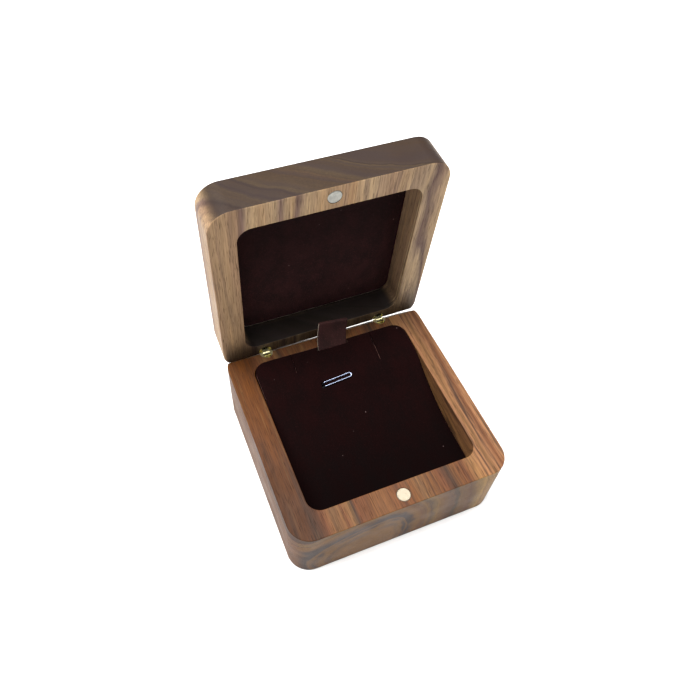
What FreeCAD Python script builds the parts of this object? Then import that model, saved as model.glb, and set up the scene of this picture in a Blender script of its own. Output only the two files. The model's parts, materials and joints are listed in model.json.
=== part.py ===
import FreeCAD, Part
# Ring box: two solid wooden blocks on brass barrel hinges, with magnet discs, a dipping
# velvet insert with a pull tab and a wire clip, and a lined lid.
#
# Millimetres. +Z is up, +X to the right, the hinges are on the +Y side. The origin is the
# centre of the base's underside. The lid is drawn closed and then turned to its open rest pose.
import math
import os

import Sketcher

V = FreeCAD.Vector

DIMENSIONS = [
    # blocks
    ("box_width", 80.0),
    ("corner_radius", 8.0),
    ("pocket_width", 62.4),
    ("pocket_corner", 5.0),
    ("base_height", 28.5),
    ("base_pocket_depth", 23.5),
    ("lid_height", 13.4),
    ("lid_pocket_depth", 10.7),
    ("rim_gap", 0.15),
    ("base_chamfer", 4.7),
    ("base_chamfer_rise", 5.6),
    ("lid_chamfer", 3.65),
    ("lid_chamfer_rise", 2.75),
    ("chamfer_skew", 0.45),
    ("edge_round", 0.6),
    ("rim_round", 0.3),
    ("pocket_round", 0.2),
    ("overcut", 1.0),
    # hinges
    ("hinge_spread", 23.8),
    ("hinge_offset", 35.65),
    ("pivot_offset", 35.95),
    ("pivot_drop", 0.8),
    ("barrel_diameter", 5.0),
    ("base_barrel_length", 12.0),
    ("base_barrel_chamfer", 4.1),
    ("base_barrel_chamfer_rise", 5.25),
    ("lid_barrel_length", 9.0),
    ("lid_barrel_chamfer", 4.0),
    ("lid_barrel_chamfer_rise", 2.75),
    ("base_slot_depth", 2.4),
    ("lid_slot_depth", 4.6),
    ("slot_width", 2.8),
    ("leaf_thickness", 0.8),
    ("leaf_pitch", 0.9),
    ("leaf_width", 2.2),
    ("leaf_reach", 3.6),
    ("pin_diameter", 0.8),
    ("pin_length", 4.4),
    ("press_clearance", 0.02),
    ("pivot_clearance", 0.04),
    # magnets
    ("magnet_diameter", 5.0),
    ("magnet_length", 2.5),
    ("magnet_offset", 35.8),
    ("magnet_chamfer", 0.25),
    # insert
    ("insert_width", 61.4),
    ("insert_corner", 4.5),
    ("insert_front_depth", 9.4),
    ("insert_rear_depth", -0.7),
    ("dip_start", 20.0),
    ("dip_radius", 69.4),
    ("crest_radius", 21.4),
    ("velvet_thickness", 0.5),
    ("board_thickness", 1.0),
    ("glue_gap", 0.02),
    ("slit_width", 0.9),
    ("left_slit", 15.6),
    ("left_slit_length", 8.5),
    ("right_slit", 17.0),
    ("right_slit_length", 13.2),
    ("foam_inset", 1.2),
    ("trough_depth", 1.0),
    # pull tab
    ("tab_width", 11.6),
    ("tab_centre", 1.3),
    ("tab_foot", 29.8),
    ("tab_foot_depth", 1.0),
    ("tab_radius", 24.0),
    ("tab_core_thickness", 0.6),
    ("tab_velvet_thickness", 0.35),
    ("tab_notch_front", 28.9),
    ("tab_notch_side", 0.4),
    # wire clip
    ("wire_diameter", 0.6),
    ("clip_spacing", 1.55),
    ("clip_length", 10.4),
    ("clip_bend", 0.6),
    ("clip_root_depth", 2.1),
    ("clip_foot", 1.2),
    ("clip_slot_width", 1.8),
    ("clip_slot_length", 2.8),
    ("clip_relief_depth", 2.2),
    # lid lining
    ("lining_width", 61.8),
    ("lining_corner", 4.7),
    ("lining_board", 0.9),
    ("lining_velvet", 0.5),
]
D = dict(DIMENSIONS)

OPEN_ANGLE = 86.5  # the lid's rest pose, from closed
TAB_LEAN_FOOT = 35.0  # the tab's lean from upright, at its foot and at its tip
TAB_LEAN_TIP = 9.0
CLIP_YAW = 4.0  # the clip's turn on the insert
CLIP_ROOT_X = -8.4
CLIP_ROOT_Y = 14.4
CLIP_SLOT_X = CLIP_ROOT_X - 0.25
WIRE_LIFT = 0.1  # the legs' clearance over the velvet
PLANES = {"XY": "XY_Plane", "XZ": "XZ_Plane", "YZ": "YZ_Plane"}

doc = FreeCAD.newDocument("ring_box")
sheet = doc.addObject("Spreadsheet::Sheet", "dims")
for row, (alias, value) in enumerate(DIMENSIONS, start=1):
    sheet.set("A%d" % row, alias)
    sheet.set("B%d" % row, str(value))
    sheet.setAlias("B%d" % row, alias)
doc.recompute()

# Heights that several pieces share.
RIM = D["base_height"]
LID_RIM = RIM + D["rim_gap"]
PIVOT = V(0, D["pivot_offset"], RIM - D["pivot_drop"])
INSERT_FRONT = RIM - D["insert_front_depth"]
INSERT_REAR = RIM - D["insert_rear_depth"]
LID_POSE = FreeCAD.Placement(V(0, 0, 0), FreeCAD.Rotation(V(1, 0, 0), -OPEN_ANGLE), PIVOT)

subparts = []


def dim(expression):
    """Spell an expression over sheet aliases, each alias written in braces."""
    return expression.replace("{", "dims.").replace("}", "")


def keep(obj, label, lid=False):
    """Name a finished sub-part, and put it in its rest pose."""
    obj.Label = label
    if lid:
        obj.Placement = LID_POSE
    subparts.append(obj)
    return obj


def new_body(name):
    body = doc.addObject("PartDesign::Body", "body_" + name)
    return body


def new_sketch(body, plane, height=None):
    """A sketch on one of the body's own planes, raised by an expression if one is given."""
    sketch = body.newObject("Sketcher::SketchObject", "sketch")
    origin_plane = [f for f in body.Origin.OriginFeatures if f.Role == PLANES[plane]][0]
    sketch.AttachmentSupport = [(origin_plane, "")]
    sketch.MapMode = "FlatFace"
    if height:
        sketch.setExpression("AttachmentOffset.Base.z", dim(height))
    return sketch


def bind(sketch, kind, refs, value, expression):
    """Add one dimension to a sketch and drive it from the sheet."""
    index = sketch.addConstraint(Sketcher.Constraint(kind, *refs, value))
    sketch.setExpression("Constraints[%d]" % index, dim(expression))


def rounded_square(sketch, side, radius, side_expr, radius_expr):
    """A square with round corners, centred on the sketch's origin."""
    h = side / 2
    k = h - radius
    lines = [
        (V(-k, -h, 0), V(k, -h, 0)),
        (V(h, -k, 0), V(h, k, 0)),
        (V(k, h, 0), V(-k, h, 0)),
        (V(-h, k, 0), V(-h, -k, 0)),
    ]
    for start, end in lines:
        sketch.addGeometry(Part.LineSegment(start, end), False)
    corners = [(k, -k, 270), (k, k, 0), (-k, k, 90), (-k, -k, 180)]
    for x, y, start in corners:
        circle = Part.Circle(V(x, y, 0), V(0, 0, 1), radius)
        first = math.radians(start)
        sketch.addGeometry(Part.ArcOfCircle(circle, first, first + math.pi / 2), False)
    for i in range(4):
        arc = 4 + i
        sketch.addConstraint(Sketcher.Constraint("Tangent", i, 2, arc, 1))
        sketch.addConstraint(Sketcher.Constraint("Tangent", arc, 2, (i + 1) % 4, 1))
    sketch.addConstraint(Sketcher.Constraint("Horizontal", 2))
    sketch.addConstraint(Sketcher.Constraint("Vertical", 3))
    for i in (5, 6, 7):
        sketch.addConstraint(Sketcher.Constraint("Equal", 4, i))
    sketch.addConstraint(Sketcher.Constraint("Symmetric", 0, 1, 0, 2, -2))
    sketch.addConstraint(Sketcher.Constraint("Symmetric", 1, 1, 1, 2, -1))
    bind(sketch, "Radius", (4,), radius, radius_expr)
    bind(sketch, "DistanceX", (3, 1, 1, 1), side, side_expr)
    bind(sketch, "DistanceY", (0, 1, 2, 2), side, side_expr)


def polygon(sketch, points):
    """A closed outline of straight lines, each corner set by two sheet expressions.

    points holds (x, y, x expression, y expression).
    """
    count = len(points)
    for i in range(count):
        start, end = points[i], points[(i + 1) % count]
        sketch.addGeometry(Part.LineSegment(V(start[0], start[1], 0), V(end[0], end[1], 0)), False)
    for i in range(count):
        sketch.addConstraint(Sketcher.Constraint("Coincident", i, 2, (i + 1) % count, 1))
    for i, (x, y, x_expr, y_expr) in enumerate(points):
        bind(sketch, "DistanceX", (-1, 1, i, 1), x, x_expr)
        bind(sketch, "DistanceY", (-1, 1, i, 1), y, y_expr)


def disc(sketch, x, y, radius, x_expr, y_expr, radius_expr):
    """A circle whose centre and radius come from the sheet."""
    index = sketch.addGeometry(Part.Circle(V(x, y, 0), V(0, 0, 1), radius), False)
    bind(sketch, "Radius", (index,), radius, radius_expr)
    if x_expr == "0":
        sketch.addConstraint(Sketcher.Constraint("PointOnObject", index, 3, -2))
    else:
        bind(sketch, "DistanceX", (-1, 1, index, 3), x, x_expr)
    bind(sketch, "DistanceY", (-1, 1, index, 3), y, y_expr)


def pad(body, sketch, length, both_sides=False, downward=False):
    feature = body.newObject("PartDesign::Pad", "pad")
    feature.Profile = sketch
    feature.setExpression("Length", dim(length))
    feature.Midplane = both_sides
    feature.Reversed = downward
    body.Tip = feature
    doc.recompute()
    return feature


def cut(body, sketch, depth=None, upward=False):
    """Cut to a depth, or right through both ways when no depth is given."""
    before = body.Shape.Volume
    feature = body.newObject("PartDesign::Pocket", "cut")
    feature.Profile = sketch
    if depth:
        feature.setExpression("Length", dim(depth))
    else:
        feature.Type = "ThroughAll"
        feature.Midplane = True
    feature.Reversed = upward
    body.Tip = feature
    doc.recompute()
    if body.Shape.Volume > before - 1e-6:
        raise ValueError("a cut in %s removes nothing" % body.Name)
    return feature


def round_edges(body, wanted, radius):
    """Fillet the edges of the body's tip that the test picks out."""
    tip = body.Tip
    names = ["Edge%d" % (i + 1) for i, edge in enumerate(tip.Shape.Edges) if wanted(edge)]
    feature = body.newObject("PartDesign::Fillet", "round")
    feature.Base = (tip, names)
    feature.setExpression("Radius", dim(radius))
    body.Tip = feature
    doc.recompute()
    return feature


def lies_at(height):
    """Picks edges that lie flat at a height."""
    return lambda edge: all(abs(v.Z - height) < 1e-4 for v in edge.Vertexes) and edge.Length > 1


def is_pocket_edge(height):
    """Picks the edges round a pocket's mouth."""
    inside = D["pocket_width"] / 2 + 0.01
    at_rim = lies_at(height)
    return lambda edge: at_rim(edge) and all(max(abs(v.X), abs(v.Y)) < inside for v in edge.Vertexes)


def is_upright(edge):
    box = edge.BoundBox
    return box.XLength < 1e-4 and box.YLength < 1e-4


# ---------------------------------------------------------------- wooden blocks

def rear_chamfer_points(rim, rim_expr, size, upward):
    """The triangle taken off a rim's rear edge, so that the lid can swing back.

    size names the chamfer's alias, whose rise has the alias size_rise. upward says that the
    block lies above its rim.
    """
    half, over = D["box_width"] / 2, D["overcut"]
    run, rise = D[size], D[size + "_rise"]
    sign = 1 if upward else -1
    way, back = ("+", "-") if upward else ("-", "+")
    names = {"rim": rim_expr, "run": "{%s}" % size, "rise": "{%s_rise}" % size, "way": way}
    outside = "{box_width} / 2 + {overcut}"
    below = "%s %s {overcut}" % (rim_expr, back)
    return [
        (half - run - over * run / rise, rim - sign * over,
         "{box_width} / 2 - %(run)s - {overcut} * %(run)s / %(rise)s" % names, below),
        (half + over, rim - sign * over, outside, below),
        (half + over, rim + sign * (rise + over * rise / run),
         outside, "%(rim)s %(way)s (%(rise)s + {overcut} * %(rise)s / %(run)s)" % names),
    ]


def hinge_and_magnet_bores(body, plane_expr, barrel_expr, upward):
    """The two barrel bores and the magnet bore in one rim."""
    bores = new_sketch(body, "XY", plane_expr)
    for side, way in ((-1, "-"), (1, "")):
        disc(bores, side * D["hinge_spread"], D["hinge_offset"], D["barrel_diameter"] / 2,
             way + "{hinge_spread}", "{hinge_offset}", "{barrel_diameter} / 2")
    cut(body, bores, barrel_expr, upward)
    seat = new_sketch(body, "XY", plane_expr)
    disc(seat, 0, -D["magnet_offset"], D["magnet_diameter"] / 2,
         "0", "-{magnet_offset}", "{magnet_diameter} / 2")
    cut(body, seat, "{magnet_length}", upward)


def wooden_block(name, bottom_expr, bottom, height_expr, height, rim, rim_expr,
                 pocket_expr, chamfer_size, barrel_expr, upward):
    """A block with round upright corners and a pocket, chamfered along its rim's rear edge.

    The chamfer runs a little askew, deeper at the right, so the open gap widens to the right.
    """
    body = new_body(name)
    outline = new_sketch(body, "XY", bottom_expr)
    rounded_square(outline, D["box_width"], D["corner_radius"], "{box_width}", "{corner_radius}")
    pad(body, outline, height_expr)
    round_edges(body, lies_at(bottom + height if upward else bottom), "{edge_round}")
    round_edges(body, lies_at(rim), "{rim_round}")
    pocket = new_sketch(body, "XY", rim_expr)
    rounded_square(pocket, D["pocket_width"], D["pocket_corner"], "{pocket_width}", "{pocket_corner}")
    cut(body, pocket, pocket_expr, upward)
    round_edges(body, is_pocket_edge(rim), "{pocket_round}")
    chamfer = new_sketch(body, "YZ")
    chamfer.AttachmentOffset = FreeCAD.Placement(V(), FreeCAD.Rotation(V(0, -1, 0), D["chamfer_skew"]))
    chamfer.setExpression("AttachmentOffset.Rotation.Angle", dim("{chamfer_skew} * 1 deg"))
    polygon(chamfer, rear_chamfer_points(rim, rim_expr, chamfer_size, upward))
    cut(body, chamfer)
    hinge_and_magnet_bores(body, rim_expr, barrel_expr, upward)
    return body


base_block = wooden_block("base_block", "0 * {base_height}", 0, "{base_height}", RIM, RIM,
                          "{base_height}", "{base_pocket_depth}", "base_chamfer",
                          "{base_barrel_length}", False)
keep(base_block, "base_block")

LID_RIM_EXPR = "{base_height} + {rim_gap}"
lid_block = wooden_block("lid_block", LID_RIM_EXPR, LID_RIM, "{lid_height}", D["lid_height"], LID_RIM,
                         LID_RIM_EXPR, "{lid_pocket_depth}", "lid_chamfer",
                         "{lid_barrel_length}", True)
keep(lid_block, "lid_block", lid=True)

# ---------------------------------------------------------------- magnets

def magnet(name, rim_expr, upward):
    """A disc let in flush with a rim, its shown edge broken."""
    body = new_body(name)
    outline = new_sketch(body, "XY", rim_expr)
    disc(outline, 0, -D["magnet_offset"], D["magnet_diameter"] / 2 - D["press_clearance"],
         "0", "-{magnet_offset}", "{magnet_diameter} / 2 - {press_clearance}")
    pad(body, outline, "{magnet_length} - {press_clearance}", downward=not upward)
    shown = LID_RIM if upward else RIM
    tip = body.Tip
    edges = ["Edge%d" % (i + 1) for i, edge in enumerate(tip.Shape.Edges) if lies_at(shown)(edge)]
    bevel = body.newObject("PartDesign::Chamfer", "bevel")
    bevel.Base = (tip, edges)
    bevel.setExpression("Size", dim("{magnet_chamfer}"))
    body.Tip = bevel
    doc.recompute()
    return body


keep(magnet("base_magnet", "{base_height}", False), "base_magnet")
keep(magnet("lid_magnet", LID_RIM_EXPR, True), "lid_magnet", lid=True)

# ---------------------------------------------------------------- barrel hinges

def barrel(name, side, rim, rim_expr, length_expr, slot_expr, slope_size, pin_height, pin_expr, upward):
    """A slotted brass barrel, its shown end sloped like the wood's and cross-drilled for its pin."""
    way = "" if side > 0 else "-"
    body = new_body(name)
    outline = new_sketch(body, "XY", rim_expr)
    disc(outline, side * D["hinge_spread"], D["hinge_offset"],
         D["barrel_diameter"] / 2 - D["press_clearance"],
         way + "{hinge_spread}", "{hinge_offset}", "{barrel_diameter} / 2 - {press_clearance}")
    pad(body, outline, length_expr + " - {press_clearance}", downward=not upward)
    slot = new_sketch(body, "XY", rim_expr)
    x = side * D["hinge_spread"]
    half = D["slot_width"] / 2
    low, high = D["hinge_offset"] - D["barrel_diameter"], D["hinge_offset"] + D["barrel_diameter"]
    left = way + "{hinge_spread} - {slot_width} / 2"
    right = way + "{hinge_spread} + {slot_width} / 2"
    front = "{hinge_offset} - {barrel_diameter}"
    rear = "{hinge_offset} + {barrel_diameter}"
    polygon(slot, [
        (x - half, low, left, front),
        (x + half, low, right, front),
        (x + half, high, right, rear),
        (x - half, high, left, rear),
    ])
    cut(body, slot, slot_expr, upward)
    slope = new_sketch(body, "YZ")
    polygon(slope, rear_chamfer_points(rim, rim_expr, slope_size, upward))
    cut(body, slope)
    hole = new_sketch(body, "YZ")
    disc(hole, D["pivot_offset"], pin_height, D["pin_diameter"] / 2 + D["press_clearance"],
         "{pivot_offset}", pin_expr, "{pin_diameter} / 2 + {press_clearance}")
    cut(body, hole)
    return body


def leaf_pack(name, side):
    """Three thin leaves standing up from the pivot pin into the lid barrel, with a hole for each pin."""
    body = new_body(name)
    body.AllowCompound = True
    reach, half = D["leaf_reach"], D["leaf_width"] / 2
    way = "" if side > 0 else "-"
    plane = way + "{hinge_spread} - {leaf_pitch} - {leaf_thickness} / 2"
    leaf = new_sketch(body, "YZ", plane)
    y, z = D["pivot_offset"], PIVOT.z
    leaf.addGeometry(Part.LineSegment(V(y + half, z, 0), V(y + half, z + reach, 0)), False)
    leaf.addGeometry(Part.LineSegment(V(y - half, z + reach, 0), V(y - half, z, 0)), False)
    for centre, first in ((z + reach, 0), (z, math.pi)):
        circle = Part.Circle(V(y, centre, 0), V(0, 0, 1), half)
        leaf.addGeometry(Part.ArcOfCircle(circle, first, first + math.pi), False)
    for one, other in ((0, 2), (2, 1), (1, 3), (3, 0)):
        leaf.addConstraint(Sketcher.Constraint("Tangent", one, 2, other, 1))
    leaf.addConstraint(Sketcher.Constraint("Vertical", 0))
    leaf.addConstraint(Sketcher.Constraint("Vertical", 1))
    bind(leaf, "Radius", (3,), half, "{leaf_width} / 2")
    bind(leaf, "DistanceX", (-1, 1, 3, 3), y, "{pivot_offset}")
    bind(leaf, "DistanceY", (-1, 1, 3, 3), z, "{base_height} - {pivot_drop}")
    bind(leaf, "DistanceY", (3, 3, 2, 3), reach, "{leaf_reach}")
    disc(leaf, y, z, D["pin_diameter"] / 2 + D["pivot_clearance"], "{pivot_offset}",
         "{base_height} - {pivot_drop}", "{pin_diameter} / 2 + {pivot_clearance}")
    disc(leaf, y, z + reach, D["pin_diameter"] / 2 + D["press_clearance"], "{pivot_offset}",
         "{base_height} - {pivot_drop} + {leaf_reach}", "{pin_diameter} / 2 + {press_clearance}")
    first = pad(body, leaf, "{leaf_thickness}")
    pattern = body.newObject("PartDesign::LinearPattern", "pack")
    pattern.Originals = [first]
    pattern.Direction = (leaf, ["N_Axis"])
    pattern.setExpression("Length", dim("{leaf_pitch} * 2"))
    pattern.Occurrences = 3
    body.Tip = pattern
    doc.recompute()
    return body


def cross_pin(name, side, height, height_expr):
    """A pin lying along X through a barrel."""
    pin = doc.addObject("Part::Cylinder", name)
    pin.setExpression("Radius", dim("{pin_diameter} / 2"))
    pin.setExpression("Height", dim("{pin_length}"))
    start = V(side * D["hinge_spread"] - D["pin_length"] / 2, D["pivot_offset"], height)
    pin.Placement = FreeCAD.Placement(start, FreeCAD.Rotation(V(0, 1, 0), 90))
    way = "" if side > 0 else "-"
    pin.setExpression("Placement.Base.x", dim(way + "{hinge_spread} - {pin_length} / 2"))
    pin.setExpression("Placement.Base.y", dim("{pivot_offset}"))
    pin.setExpression("Placement.Base.z", dim(height_expr))
    return pin


def in_lid(obj, name):
    """Carry a Part object with the lid, keeping its own placement inside."""
    group = doc.addObject("Part::Compound", name)
    group.Links = [obj]
    return group


PIVOT_EXPR = "{base_height} - {pivot_drop}"
FIXING_EXPR = "{base_height} - {pivot_drop} + {leaf_reach}"
for side, word in ((-1, "left"), (1, "right")):
    keep(barrel("%s_base_barrel" % word, side, RIM, "{base_height}", "{base_barrel_length}",
                "{base_slot_depth}", "base_barrel_chamfer", PIVOT.z, PIVOT_EXPR, False),
         "%s_base_barrel" % word)
    keep(barrel("%s_lid_barrel" % word, side, LID_RIM, LID_RIM_EXPR, "{lid_barrel_length}",
                "{lid_slot_depth}", "lid_barrel_chamfer", PIVOT.z + D["leaf_reach"], FIXING_EXPR, True),
         "%s_lid_barrel" % word, lid=True)
    keep(leaf_pack("%s_leaves" % word, side), "%s_leaves" % word, lid=True)
    keep(cross_pin("%s_pivot_pin" % word, side, PIVOT.z, PIVOT_EXPR), "%s_pivot_pin" % word)
    fixing = cross_pin("%s_fixing_pin_solid" % word, side, PIVOT.z + D["leaf_reach"], FIXING_EXPR)
    keep(in_lid(fixing, "%s_fixing_pin_group" % word), "%s_fixing_pin" % word, lid=True)

# ---------------------------------------------------------------- insert

def dip_curve(drop):
    """Centres, radii and join angle of the insert's dip, measured drop below the velvet's face."""
    low = V(-D["dip_start"], INSERT_FRONT + D["dip_radius"], 0)
    rise = D["insert_front_depth"] - D["insert_rear_depth"]
    both = D["dip_radius"] + D["crest_radius"]
    angle = math.acos(1 - rise / both)
    high = V(low.x + both * math.sin(angle), INSERT_REAR - D["crest_radius"], 0)
    return low, D["dip_radius"] + drop, high, D["crest_radius"] - drop, angle


def dip_edge(sketch, drop, drop_expr, half):
    """Draw one side of the dip: front flat, hollow, crest, rear flat. Returns its first index."""
    low, low_radius, high, high_radius, angle = dip_curve(drop)
    down = -math.pi / 2
    front, rear = INSERT_FRONT - drop, INSERT_REAR - drop
    first = sketch.addGeometry(Part.LineSegment(V(-half, front, 0), V(low.x, front, 0)), False)
    hollow = Part.Circle(low, V(0, 0, 1), low_radius)
    sketch.addGeometry(Part.ArcOfCircle(hollow, down, down + angle), False)
    crest = Part.Circle(high, V(0, 0, 1), high_radius)
    sketch.addGeometry(Part.ArcOfCircle(crest, -down, -down + angle), False)
    sketch.addGeometry(Part.LineSegment(V(high.x, rear, 0), V(half, rear, 0)), False)
    sketch.addConstraint(Sketcher.Constraint("Tangent", first, 2, first + 1, 1))
    sketch.addConstraint(Sketcher.Constraint("Tangent", first + 1, 2, first + 2, 2))
    sketch.addConstraint(Sketcher.Constraint("Tangent", first + 2, 1, first + 3, 1))
    sketch.addConstraint(Sketcher.Constraint("Horizontal", first))
    sketch.addConstraint(Sketcher.Constraint("Horizontal", first + 3))
    bind(sketch, "Radius", (first + 1,), low_radius, "{dip_radius} + (%s)" % drop_expr)
    bind(sketch, "Radius", (first + 2,), high_radius, "{crest_radius} - (%s)" % drop_expr)
    bind(sketch, "DistanceX", (-1, 1, first, 2), low.x, "-{dip_start}")
    bind(sketch, "DistanceY", (-1, 1, first, 1), front,
         "{base_height} - {insert_front_depth} - (%s)" % drop_expr)
    bind(sketch, "DistanceY", (-1, 1, first + 3, 2), rear,
         "{base_height} - {insert_rear_depth} - (%s)" % drop_expr)
    return first


def dipping_sheet(name, top, top_expr, bottom, bottom_expr):
    """A sheet of the insert between two depths below the velvet's face, with its rounded corners."""
    body = new_body(name)
    half = D["insert_width"] / 2
    profile = new_sketch(body, "YZ")
    upper = dip_edge(profile, top, top_expr, half)
    lower = dip_edge(profile, bottom, bottom_expr, half)
    for one, other in ((upper, lower), (upper + 3, lower + 3)):
        end = 1 if one == upper else 2
        a = V(-half if end == 1 else half, 0, 0)
        heights = [(INSERT_FRONT if end == 1 else INSERT_REAR) - drop for drop in (top, bottom)]
        index = profile.addGeometry(
            Part.LineSegment(V(a.x, heights[0], 0), V(a.x, heights[1], 0)), False)
        profile.addConstraint(Sketcher.Constraint("Coincident", index, 1, one, end))
        profile.addConstraint(Sketcher.Constraint("Coincident", index, 2, other, end))
        profile.addConstraint(Sketcher.Constraint("Vertical", index))
        way = "-" if end == 1 else ""
        bind(profile, "DistanceX", (-1, 1, one, end), a.x, way + "{insert_width} / 2")
    pad(body, profile, "{insert_width}", both_sides=True)
    round_edges(body, is_upright, "{insert_corner}")
    openings = new_sketch(body, "XY", "{base_height}")
    rear = D["insert_width"] / 2
    over = rear + D["overcut"]
    for sign, slit, way in ((-1, "left_slit", "-{left_slit}"), (1, "right_slit", "{right_slit}")):
        x = sign * D[slit]
        box_outline(openings, x - D["slit_width"] / 2, x + D["slit_width"] / 2,
                    rear - D[slit + "_length"], over,
                    way + " - {slit_width} / 2", way + " + {slit_width} / 2",
                    "{insert_width} / 2 - {%s_length}" % slit, "{insert_width} / 2 + {overcut}")
    notch = D["tab_width"] / 2 + D["tab_notch_side"]
    box_outline(openings, D["tab_centre"] - notch, D["tab_centre"] + notch, D["tab_notch_front"], over,
                "{tab_centre} - {tab_width} / 2 - {tab_notch_side}",
                "{tab_centre} + {tab_width} / 2 + {tab_notch_side}",
                "{tab_notch_front}", "{insert_width} / 2 + {overcut}")
    box_outline(openings, CLIP_SLOT_X - D["clip_slot_width"] / 2, CLIP_SLOT_X + D["clip_slot_width"] / 2,
                CLIP_ROOT_Y - D["clip_slot_length"] / 2, CLIP_ROOT_Y + D["clip_slot_length"] / 2,
                "%g - {clip_slot_width} / 2" % CLIP_SLOT_X, "%g + {clip_slot_width} / 2" % CLIP_SLOT_X,
                "%g - {clip_slot_length} / 2" % CLIP_ROOT_Y, "%g + {clip_slot_length} / 2" % CLIP_ROOT_Y)
    cut(body, openings)
    return body


def box_outline(sketch, x0, x1, y0, y1, x0_expr, x1_expr, y0_expr, y1_expr):
    """A rectangle added to a sketch that may already hold others."""
    corners = [(x0, y0), (x1, y0), (x1, y1), (x0, y1)]
    first = None
    for i in range(4):
        start, end = corners[i], corners[(i + 1) % 4]
        index = sketch.addGeometry(
            Part.LineSegment(V(start[0], start[1], 0), V(end[0], end[1], 0)), False)
        first = index if first is None else first
    for i in range(4):
        sketch.addConstraint(
            Sketcher.Constraint("Coincident", first + i, 2, first + (i + 1) % 4, 1))
    for i, kind in ((0, "Horizontal"), (1, "Vertical"), (2, "Horizontal"), (3, "Vertical")):
        sketch.addConstraint(Sketcher.Constraint(kind, first + i))
    bind(sketch, "DistanceX", (-1, 1, first, 1), x0, x0_expr)
    bind(sketch, "DistanceX", (-1, 1, first + 1, 2), x1, x1_expr)
    bind(sketch, "DistanceY", (-1, 1, first, 1), y0, y0_expr)
    bind(sketch, "DistanceY", (-1, 1, first + 2, 2), y1, y1_expr)


keep(dipping_sheet("insert_velvet", 0, "0", D["velvet_thickness"], "{velvet_thickness}"), "insert_velvet")
BOARD_TOP = D["velvet_thickness"] + D["glue_gap"]
keep(dipping_sheet("insert_board", BOARD_TOP, "{velvet_thickness} + {glue_gap}",
                   BOARD_TOP + D["board_thickness"],
                   "{velvet_thickness} + {glue_gap} + {board_thickness}"), "insert_board")


def foam_block():
    """The shaped block that holds the insert board up from the pocket's floor."""
    body = new_body("insert_foam")
    half = D["pocket_width"] / 2 - D["foam_inset"]
    drop = D["velvet_thickness"] + D["board_thickness"] + 2 * D["glue_gap"]
    floor = RIM - D["base_pocket_depth"] + D["glue_gap"]
    profile = new_sketch(body, "YZ")
    top = dip_edge(profile, drop, "{velvet_thickness} + {board_thickness} + 2 * {glue_gap}", half)
    corners = [(half, INSERT_REAR - drop), (half, floor), (-half, floor), (-half, INSERT_FRONT - drop)]
    lines = []
    for start, end in zip(corners, corners[1:]):
        lines.append(profile.addGeometry(
            Part.LineSegment(V(start[0], start[1], 0), V(end[0], end[1], 0)), False))
    profile.addConstraint(Sketcher.Constraint("Coincident", top + 3, 2, lines[0], 1))
    profile.addConstraint(Sketcher.Constraint("Coincident", lines[0], 2, lines[1], 1))
    profile.addConstraint(Sketcher.Constraint("Coincident", lines[1], 2, lines[2], 1))
    profile.addConstraint(Sketcher.Constraint("Coincident", lines[2], 2, top, 1))
    profile.addConstraint(Sketcher.Constraint("Vertical", lines[0]))
    profile.addConstraint(Sketcher.Constraint("Horizontal", lines[1]))
    profile.addConstraint(Sketcher.Constraint("Vertical", lines[2]))
    bind(profile, "DistanceX", (-1, 1, top + 3, 2), half, "{pocket_width} / 2 - {foam_inset}")
    bind(profile, "DistanceX", (-1, 1, top, 1), -half, "-({pocket_width} / 2 - {foam_inset})")
    bind(profile, "DistanceY", (-1, 1, lines[1], 1), floor,
         "{base_height} - {base_pocket_depth} + {glue_gap}")
    pad(body, profile, "{pocket_width} - 2 * {foam_inset}", both_sides=True)
    round_edges(body, is_upright, "{insert_corner}")
    relief = new_sketch(body, "XY", "{base_height}")
    half_x, half_y = D["clip_slot_width"], D["clip_slot_length"]
    box_outline(relief, CLIP_SLOT_X - half_x, CLIP_SLOT_X + half_x,
                CLIP_ROOT_Y - half_y, CLIP_ROOT_Y + half_y,
                "%g - {clip_slot_width}" % CLIP_SLOT_X, "%g + {clip_slot_width}" % CLIP_SLOT_X,
                "%g - {clip_slot_length}" % CLIP_ROOT_Y, "%g + {clip_slot_length}" % CLIP_ROOT_Y)
    cut(body, relief, "{insert_rear_depth} + {velvet_thickness} + {board_thickness} + {trough_depth}"
                      " + {clip_relief_depth}")
    trough = new_sketch(body, "XY", "{base_height}")
    notch = D["tab_width"] / 2 + D["tab_notch_side"]
    box_outline(trough, D["tab_centre"] - notch, D["tab_centre"] + notch,
                D["tab_notch_front"], half + D["overcut"],
                "{tab_centre} - {tab_width} / 2 - {tab_notch_side}",
                "{tab_centre} + {tab_width} / 2 + {tab_notch_side}",
                "{tab_notch_front}", "{pocket_width} / 2 - {foam_inset} + {overcut}")
    cut(body, trough, "{insert_rear_depth} + {velvet_thickness} + {board_thickness} + {trough_depth}")
    return body


keep(foam_block(), "insert_foam")

# ---------------------------------------------------------------- pull tab

TAB_CENTRE = V(D["tab_foot"] - D["tab_radius"] * math.cos(math.radians(TAB_LEAN_FOOT)),
               RIM - D["tab_foot_depth"] + D["tab_radius"] * math.sin(math.radians(TAB_LEAN_FOOT)), 0)


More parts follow.
